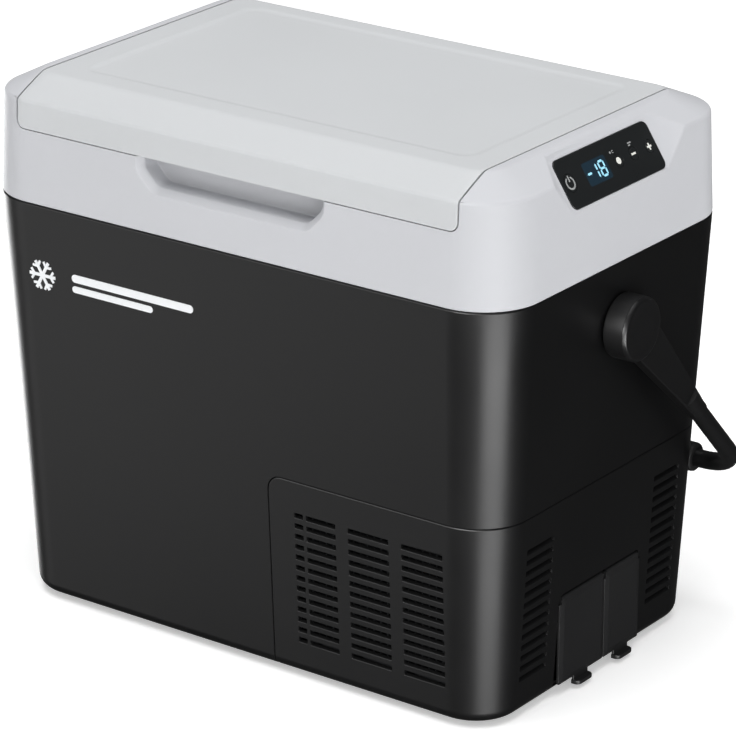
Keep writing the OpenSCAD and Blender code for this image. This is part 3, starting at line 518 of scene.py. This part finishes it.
def wall_level(z):
    k = (z - PART_Z) / (CREASE_Z - PART_Z)
    return (HALF_X - LEAN * k, HALF_Y - LEAN * k, HALF_Y - LEAN * k, CORNER - 2 * k, z)


def pocket_outline():
    """The display's pocket seen square on; it widens towards the brim and past it."""
    top = POCKET_HALF + POCKET_FLARE * POCKET_RISE
    return [(-POCKET_HALF, 0), (POCKET_HALF, 0), (top, POCKET_RISE), (-top, POCKET_RISE)]


def top_form(name, with_pocket):
    """The whole grey top as one solid with soft edges, before the lid is parted from the collar."""
    foot_in = (HALF_X - 4, HALF_Y - 4, HALF_Y - 4, CORNER - 4, PART_Z)
    brim = (TOP_X, TOP_FRONT, TOP_BACK, TOP_CORNER, TOP_Z)
    low = softened([foot_in, wall_level(PART_Z), wall_level(PART_Z + 22)], (FOOT_ROUND,))
    form = loft(name, [level(v) for v in low + [wall_level(CREASE_Z), brim]])
    if with_pocket:
        cut(form, prism("pocket", pocket_outline(), -70, 80, "X", PANEL))
    bm = bmesh.new()
    bm.from_mesh(form.data)
    bmesh.ops.remove_doubles(bm, verts=bm.verts, dist=WELD * MM)
    weight = bm.edges.layers.float.new("bevel_weight_edge")
    slope = (PANEL.to_3x3() @ Vector((0, 0, 1))).normalized()
    for e in bm.edges:
        if len(e.link_faces) == 2 and min(v.co.z for v in e.verts) > SOFT_FROM * MM:
            on_rim = any(f.normal.dot(slope) > 0.85 and f.normal.x > 0.6 for f in e.link_faces)
            if e.calc_face_angle_signed(0) > math.radians(14):
                e[weight] = POCKET_EDGE if on_rim else 1.0
    bm.to_mesh(form.data)
    bm.free()
    mod = form.modifiers.new("soft", "BEVEL")
    mod.width, mod.segments, mod.limit_method = SOFT_EDGE * MM, 5, "WEIGHT"
    mod.use_clamp_overlap = False
    return applied(form)


def recess_outline(g):
    """Finger recess seen from the front, grown by g: chamfered lower corners, each softly rounded."""
    side, foot, c = RECESS_HALF + g, RECESS_Z - g, RECESS_CHAMFER - g * 0.4
    bend = RECESS_Z + c
    corners = [(side, FAR), (-side, FAR), (-side, bend), (-RECESS_HALF + c, foot), (RECESS_HALF - c, foot),
               (side, bend)]
    points = corners[:2]
    for k in range(2, 6):
        here, before, after = (Vector(corners[j % 6]) for j in (k, k - 1, k + 1))
        d = RECESS_ROUND + 0.3 * g
        points += bent(tuple(here + (before - here).normalized() * d), tuple(here),
                       tuple(here + (after - here).normalized() * d), 5)
    return points


def recess_form():
    """From the round foot of the back wall to the chamfered mouth, which follows the leaning front."""
    rings = []
    for g, d in ((-1.5, 0), (-0.4, -0.4), (0, -1.5)):
        rings.append([(p, RECESS_BACK + d, q) for p, q in recess_outline(g)])
    for g, d in ((0, LIP_R + 0.8), (0.15, LIP_R - 0.1), (0.8, LIP_R - 1.0), (LIP_R - 1.0, 0.7),
                 (LIP_R - 0.3, 0.2), (LIP_R + 0.3, -0.1)):
        rings.append([(p, d - wall_level(q)[1], q) for p, q in recess_outline(g)])
    rings.append([(p, -HALF_Y - 6, q) for p, q in recess_outline(LIP_R + 1.2)])
    return loft("recess", rings)


def lid_prism(name, low, g):
    """All that is above the height low and within the lid's ends, grown by g."""
    side = LID_HALF + g
    return prism(name, outline(-side, side, low, FAR + 100, LID_CORNER + g), -FAR, FAR, "Y")


def fascia_outline(g):
    """The fascia in its own plane, grown by g."""
    return centred(FASCIA_H / 2 + g, FASCIA_W / 2 + g, FASCIA_R + g)


collar = top_form("collar_skin", True)
lid_slot = lid_prism("slot", DECK_Z, SHOWN_GAP)
mouth = prism("mouth", centred(MOUTH_X, MOUTH_Y, MOUTH_R), DECK_Z - 12, DECK_Z + 8)
hollow = prism("hollow", centred(HOLLOW_X, HOLLOW_Y, HOLLOW_R), PART_Z - 18, DECK_Z - WALL)
nest = prism("nest", fascia_outline(NEST_FIT), -8, 5, "Z", PANEL)
cut(collar, hollow, mouth, lid_slot, recess_form(), nest)
placed(neat(collar, 0.15), "cabinet", "collar_grey", ["top_collar"])

# ---------- lid ----------

SUNK_X, SUNK_Y, SUNK_DEEP = 171.5, 101.5, 1.2   # outer edge and depth of the sunken panel
SUNK_ROUND = 2.4
VOID_X = LID_HALF - WALL
LID_VOID = ((VOID_X, 146, 146, 6, 340), (VOID_X, 144, 144, 6, 391.5), (VOID_X - 2, 118, 113, 6, 403.4))


def sunk_level(inward, r, z):
    x, y = SUNK_X - inward, SUNK_Y - inward
    return (x, y, y, r, z)


lid = top_form("lid_skin", False)
sunk = softened([sunk_level(-13.5, 20, TOP_Z + 3), sunk_level(0, 12, TOP_Z),
                 sunk_level(6, 8, TOP_Z - SUNK_DEEP), sunk_level(21.5, 6, TOP_Z - SUNK_DEEP)],
                (SUNK_ROUND, SUNK_ROUND))
cut(lid, loft("sunk", [level(v) for v in sunk]))
solid(lid, "INTERSECT", lid_prism("region", LID_LOW, 0))
cut(lid, loft("void", [level(v) for v in LID_VOID]))
placed(neat(lid, 0.45), "lid", "lid_grey", ["lid_outer"])

# ---------- control panel ----------

PRINT = 0.06            # how far a printed mark stands up
KEY_TOP = FASCIA_PROUD - 0.05
MARK_STROKE = 1.5
PLUS_HALF = 2.6
DIGIT_W, DIGIT_H, STROKE = 5.8, 10.6, 1.6
SHOWN_AT = DIGITS_AT - 2.0      # middle of the lit window, a little left of the module's
WINDOW_W, WINDOW_H = 28.0, 17.2
# each stroke of a digit: place in half widths and half heights, and whether it lies flat
SEGMENTS = {"a": (0, 1, True), "g": (0, 0, True), "d": (0, -1, True), "f": (-1, 0.5, False),
            "b": (1, 0.5, False), "e": (-1, -0.5, False), "c": (1, -0.5, False)}


def flat(name, shapes, z0, z1, body, look, slot):
    """Thin raised print on the control panel; a shape is (u, v) points, u to the right and v up the slope."""
    pieces = [prism(name, [(-v, u) for u, v in shape], z0, z1, "Z", PANEL) for shape in shapes]
    return placed(neat(joined(pieces)), body, slot, (), look)


def key_mark(key, shapes, look):
    return flat(key + "_mark", shapes, KEY_TOP - 0.02, KEY_TOP + PRINT, key + "_key", look, "key_black")


def bar(u, v, w, h):
    return [(u - w / 2, v - h / 2), (u + w / 2, v - h / 2), (u + w / 2, v + h / 2), (u - w / 2, v + h / 2)]


def plus(u):
    """A cross, walked round arm by arm."""
    long, short = PLUS_HALF, MARK_STROKE / 2
    arm = [(-long, -short), (-short, -short), (-short, -long)]
    points = []
    for _ in range(4):
        points += arm
        arm = [(-q, p) for p, q in arm]
    return [(u + p, q) for p, q in points]


def arc(u, v, r, t, a0, a1, segs=26):
    """Curved stroke of thickness t from angle a0 to a1."""
    angles = [math.radians(a0 + (a1 - a0) * i / segs) for i in range(segs + 1)]
    outer = [(u + (r + t / 2) * math.cos(a), v + (r + t / 2) * math.sin(a)) for a in angles]
    return outer + [(u + (r - t / 2) * math.cos(a), v + (r - t / 2) * math.sin(a)) for a in reversed(angles)]


def segment(u, v, lies_flat):
    """One lozenge-ended stroke of a digit."""
    run = (DIGIT_W if lies_flat else DIGIT_H / 2) / 2 - 0.25
    t = STROKE / 2
    points = [(-run, 0), (-run + t, -t), (run - t, -t), (run, 0), (run - t, t), (-run + t, t)]
    return [(u + a, v + b) if lies_flat else (u - b, v + a) for a, b in points]


def digit(lit, u):
    places = [SEGMENTS[k] for k in lit]
    return [segment(u + x * DIGIT_W / 2, y * DIGIT_H / 2, lies_flat) for x, y, lies_flat in places]


plate = [(0, -FASCIA_T), (0, FASCIA_PROUD - 0.5), (0.15, FASCIA_PROUD - 0.15), (0.5, FASCIA_PROUD)]
fascia = loft("fascia_plate", [[(p, q, z) for p, q in fascia_outline(-d)] for d, z in plate], PANEL)
wells = []
for y, key_r in [(POWER_AT, POWER_R)] + [(k, KEY_R) for k in KEYS_AT]:
    r = key_r + KEY_FIT
    wells.append(prism("well", outline(-r, r, y - r, y + r, r), -10, 10, "Z", PANEL))
cut(fascia, joined(wells))
placed(neat(fascia, 0.12), "cabinet", "fascia_black", ["display_fascia"])

key_mark("power", [arc(POWER_AT, 0, 4.3, 1.3, 118, 422), bar(POWER_AT, 3.2, 1.3, 4.6)], PRINT_GREY)
key_mark("set", [disc(KEYS_AT[0], 0, 2.6)], GLOWING_PRINT_WHITE)
key_mark("minus", [bar(KEYS_AT[1], 0, 2 * PLUS_HALF, MARK_STROKE)], GLOWING_PRINT_WHITE)
key_mark("plus", [plus(KEYS_AT[2])], GLOWING_PRINT_WHITE)
flat("side_marks", [disc(5.5, 7.5, 0.9, 14), arc(8.5, 7.5, 0.9, 0.5, 40, 320, 10), bar(30.0, 8.3, 4.2, 1.0),
                    bar(29.0, 6.6, 2.4, 1.0)],
     FASCIA_PROUD - 0.02, FASCIA_PROUD + PRINT, "cabinet", PRINT_GREY, "fascia_black")
window = outline(SHOWN_AT - WINDOW_W / 2, SHOWN_AT + WINDOW_W / 2, -WINDOW_H / 2, WINDOW_H / 2, 2)
flat("digit_window", [window], FASCIA_PROUD - 0.02, FASCIA_PROUD + 0.04, "cabinet", WINDOW, "display_dark")
flat("digits", digit("g", SHOWN_AT - 9) + digit("bc", SHOWN_AT - 2.4) + digit("abcdefg", SHOWN_AT + 7),
     FASCIA_PROUD, FASCIA_PROUD + 0.1, "cabinet", DIGIT, "display_dark")

# ---------- handle ----------

ARM_ROOT_R = 17.5       # half width of an arm where it leaves the hub
ARM_OUT = HUB_OUT - CAP_T
HUB_IN = 229.4
BORE_R, BORE_ENDS = 8.3, (200.0, 260.0)


def arm_outline(d):
    """Outline of an arm in its own plane, shrunk by d: two round ends joined by tangents."""
    lean = math.asin((ARM_ROOT_R - ARM_TIP_R) / ARM_TIP)
    root, tip = ARM_ROOT_R - d, ARM_TIP_R - d
    points = []
    for i in range(41):
        a = math.pi / 2 - lean + (math.pi + 2 * lean) * i / 40
        points.append((root * math.cos(a), root * math.sin(a)))
    for i in range(17):
        a = -(math.pi / 2 - lean) + (math.pi - 2 * lean) * i / 16
        points.append((ARM_TIP + tip * math.cos(a), tip * math.sin(a)))
    return points


def arm(side, place):
    """Arm, hub and socket for the tube in one, with a bore for the pivot bolt."""
    edges = [(1.6, ARM_IN), (0.5, ARM_IN + 0.5), (0, ARM_IN + 1.7), (0, ARM_OUT - 1.9), (0.6, ARM_OUT - 0.55),
             (2.0, ARM_OUT)]
    rings = [[(x, p, q) for p, q in arm_outline(d)] for d, x in edges]
    form = loft("handle_arm_" + side + "_skin", rings, place)
    hub = lathe("hub", [(HUB_IN, HUB_R - 1.2), (HUB_IN + 0.4, HUB_R - 0.4), (HUB_IN + 1.4, HUB_R),
                        (ARM_OUT, HUB_R)], 96, place)
    start = (ARM_X, ARM_TIP - 16, 0)
    socket = sweep("socket", [start, (ARM_X, SOCKET_END - 1.0, 0)], ARM_TIP_R, 40, place)
    lip = sweep("lip", [start, (ARM_X, SOCKET_END, 0)], ARM_TIP_R - 0.7, 40, place)
    solid(form, "UNION", hub, socket, lip)
    cut(form, lathe("bore", [(x, BORE_R) for x in BORE_ENDS], 48, place))
    return neat(form)


def hub_cap(side, place):
    """Cap with a bright chamfered rim and a shallow dish."""
    steps = [(CAP_T, 0.1), (2.7, 0), (0.9, 1.0), (0.35, 1.7), (0.07, 2.6), (0, 3.6), (0.3, 7.0), (0.4, 11.0),
             (0.4, HUB_R - 0.5)]
    return neat(lathe("hub_cap_" + side, [(HUB_OUT - d, HUB_R - inward) for d, inward in steps], 96, place))


def tube_line():
    """Middle line of the bent tube, from the left socket round to the right one."""
    half = [(-ARM_X, SOCKET_END + 0.3, 0), (-ARM_X, HANDLE_LEN - BEND_R, 0)]
    for i in range(1, 13):
        a = math.pi - math.pi / 2 * i / 12
        half.append((-ARM_X + BEND_R + BEND_R * math.cos(a), HANDLE_LEN - BEND_R + BEND_R * math.sin(a), 0))
    return half + [(-x, y, z) for x, y, z in reversed(half)]


for side, sign in (("left", -1), ("right", 1)):
    place = Matrix.Diagonal((sign, 1, 1, 1)) @ PIVOT
    placed(arm(side, place), "handle", "handle_black", ["handle_arm_" + side])
    placed(hub_cap(side, place), "handle", "handle_black", (), CAP)
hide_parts("hub_caps")

placed(neat(sweep("handle_bar", tube_line(), TUBE_R, 36, PIVOT)), "handle", "handle_black", ["handle_tube"])

grip_end = [(-GRIP_HALF, GRIP_R - 2.4), (-GRIP_HALF + 0.25, GRIP_R - 1.2), (-GRIP_HALF + 1.0, GRIP_R - 0.4),
            (-GRIP_HALF + 2.4, GRIP_R)]
grip = lathe("grip_sleeve", grip_end + [(-x, r) for x, r in reversed(grip_end)], 56,
             PIVOT @ Matrix.Translation((0, HANDLE_LEN, 0)))
placed(neat(grip), "handle", "rubber_black", ["handle_grip"], GRIP)

# ---------- socket covers ----------

SOCKET_HALF, COVER_SPLIT = 52.4, 5.8
COVER_LOW, COVER_HIGH = 9.4, 76.4
BARREL_R, PIN_R = 2.4, 1.15
TAB_LOW, TAB_TOP, TAB_W, TAB_REACH = 3.4, 6.8, 20.0, 222.6
EAR_T, EAR_FIT = 2.4, 0.3
EARS = (-SOCKET_HALF, COVER_SPLIT - EAR_T / 2, SOCKET_HALF - EAR_T)


def pull_tab(back, mid):
    """Rounded tab under the cover, and the neck that holds it."""
    rings = [(0.7, TAB_LOW), (0.15, TAB_LOW + 0.3), (0, TAB_LOW + 0.9), (0, TAB_TOP - 0.9),
             (0.15, TAB_TOP - 0.3), (0.7, TAB_TOP)]
    y0, y1 = mid - TAB_W / 2, mid + TAB_W / 2
    tab = loft("tab", [[(p, q, z) for p, q in outline(back, TAB_REACH - d, y0 + d, y1 - d, (4, 0.6, 0.6, 4))]
                       for d, z in rings])
    neck = prism("neck", outline(back + 0.02, COVER_FACE - 0.8, y0 + 0.6, y1 - 0.6, 0.8), TAB_LOW + 0.5, 13)
    return tab, neck


def socket_cover(name, node, y0, y1, radii):
    """Raised panel with sloping borders, a hinge barrel along its top and a pull tab at its foot."""
    back = COVER_FACE - COVER_T
    steps = [(0, back), (0, COVER_FACE - 1.5), (0.25, COVER_FACE - 1.15), (1.0, COVER_FACE - 0.95),
             (4.0, COVER_FACE - 0.12), (5.2, COVER_FACE)]
    rings = []
    for d, x in steps:
        shrunk = [max(r - d, 0.6) for r in radii]
        rings.append([(x, p, q) for p, q in outline(y0 + d, y1 - d, COVER_LOW + d, COVER_HIGH - d, shrunk)])
    panel = loft(name, rings)
    barrel = prism("barrel", disc(BARREL_X, BARREL_Z, BARREL_R, 32), y0 + 2.6, y1 - 2.6, "Y")
    solid(panel, "UNION", *pull_tab(back, (y0 + y1) / 2), barrel)
    notches = [prism("notch", outline(back - 3, COVER_FACE + 3, y - EAR_FIT, y + EAR_T + EAR_FIT, 0.1),
                     BARREL_Z - 3.6, 90) for y in EARS]
    pin_hole = prism("pin", disc(BARREL_X, BARREL_Z, PIN_R, 24), -FAR, FAR, "Y")
    cut(panel, joined(notches), pin_hole)
    placed(neat(panel), node, "casing_black", [node], COVER)


socket_cover("dc_cover_skin", "dc_cover", -SOCKET_HALF + 0.5, COVER_SPLIT - 0.4, (1.2, 7, 1.5, 1.2))
socket_cover("ac_cover_skin", "ac_cover", COVER_SPLIT + 0.4, SOCKET_HALF - 0.5, (7, 1.2, 1.2, 1.5))

# ---------- camera, floor and light ----------

CAMERA_AZ, CAMERA_EL, CAMERA_FAR = 36.33, 21.14, 3.0159
AIM = Vector((0, 0, 0.19785))   # what the camera and the lights point at
FLOOR_HALF = 9000.0
WHITE = (1.0, 1.0, 1.0, 1.0)


def away(azimuth, elevation):
    """Direction from the object; azimuth 0 is in front, and 90 is the end with the control panel."""
    a, e = math.radians(azimuth), math.radians(elevation)
    return Vector((math.sin(a) * math.cos(e), -math.cos(a) * math.cos(e), math.sin(e)))


def aimed(obj, direction, distance):
    """Puts a camera or a light at a distance from the object and turns it to face it."""
    bpy.context.scene.collection.objects.link(obj)
    obj.location = AIM + direction * distance
    obj.rotation_mode = "QUATERNION"
    obj.rotation_quaternion = direction.to_track_quat("Z", "Y")


camera = bpy.data.objects.new("camera", bpy.data.cameras.new("camera"))
aimed(camera, away(CAMERA_AZ, CAMERA_EL), CAMERA_FAR)
camera.data.sensor_width, camera.data.lens = 36.0, 201.24
camera.data.shift_x, camera.data.shift_y = 0.0176, -0.0218
camera.data.clip_start, camera.data.clip_end = 0.1, 50.0
bpy.context.scene.camera = camera

floor = mesh_object("floor", [(-FLOOR_HALF, -FLOOR_HALF, 0), (FLOOR_HALF, -FLOOR_HALF, 0),
                              (FLOOR_HALF, FLOOR_HALF, 0), (-FLOOR_HALF, FLOOR_HALF, 0)], [(0, 1, 2, 3)])
dressed(floor, FLOOR)
floor.visible_glossy = floor.visible_shadow = False


def softbox(name, azimuth, elevation, distance, width, height, power, diffuse=True, glossy=True):
    """Area light that faces the object, for soft light, for reflections or for both."""
    data = bpy.data.lights.new(name, "AREA")
    data.shape, data.size, data.size_y, data.energy = "RECTANGLE", width, height, power
    obj = bpy.data.objects.new(name, data)
    aimed(obj, away(azimuth, elevation), distance)
    obj.visible_camera, obj.visible_diffuse, obj.visible_glossy = False, diffuse, glossy


softbox("overhead", 10, 80, 2.6, 2.4, 2.4, 62)
softbox("corner_key", 62, 4, 2.4, 1.2, 1.2, 16, glossy=False)
softbox("front_fill", -15, -8, 2.4, 1.0, 1.0, 2.5, glossy=False)
softbox("front_left", -46, -15, 2.2, 1.7, 1.3, 8, diffuse=False)
softbox("corner_box", 60, -17, 1.7, 1.1, 0.95, 33, diffuse=False)
softbox("left_rim", -108, -14, 2.0, 0.7, 0.9, 13, diffuse=False)
softbox("brow", -38, 17, 2.2, 1.1, 0.7, 16, diffuse=False)
softbox("near_lens", 24, 10, 2.4, 0.5, 0.5, 50, diffuse=False)
softbox("hub_glint", 2, 28, 2.4, 0.5, 0.5, 95, diffuse=False)

# the world looks white, lights softly and hardly reflects
world = bpy.data.worlds.new("studio")
bpy.context.scene.world = world
world.use_nodes = True
tree = world.node_tree
tree.nodes.remove(tree.nodes["Background"])
rays = shader_node(tree, "LightPath")


def backdrop(strength):
    return shader_node(tree, "Background", Color=WHITE, Strength=strength).outputs["Background"]


def either(test, usual, special):
    """The special shader for rays of one kind, and the usual one for the rest."""
    pick = shader_node(tree, "MixShader")
    tree.links.new(rays.outputs[test], pick.inputs["Fac"])
    tree.links.new(usual, pick.inputs[1])
    tree.links.new(special, pick.inputs[2])
    return pick.outputs["Shader"]


lit = either("Is Glossy Ray", backdrop(0.40), backdrop(0.06))
seen = either("Is Camera Ray", lit, backdrop(1.0))
tree.links.new(seen, tree.nodes["World Output"].inputs["Surface"])
bpy.context.scene.view_settings.view_transform = "Standard"
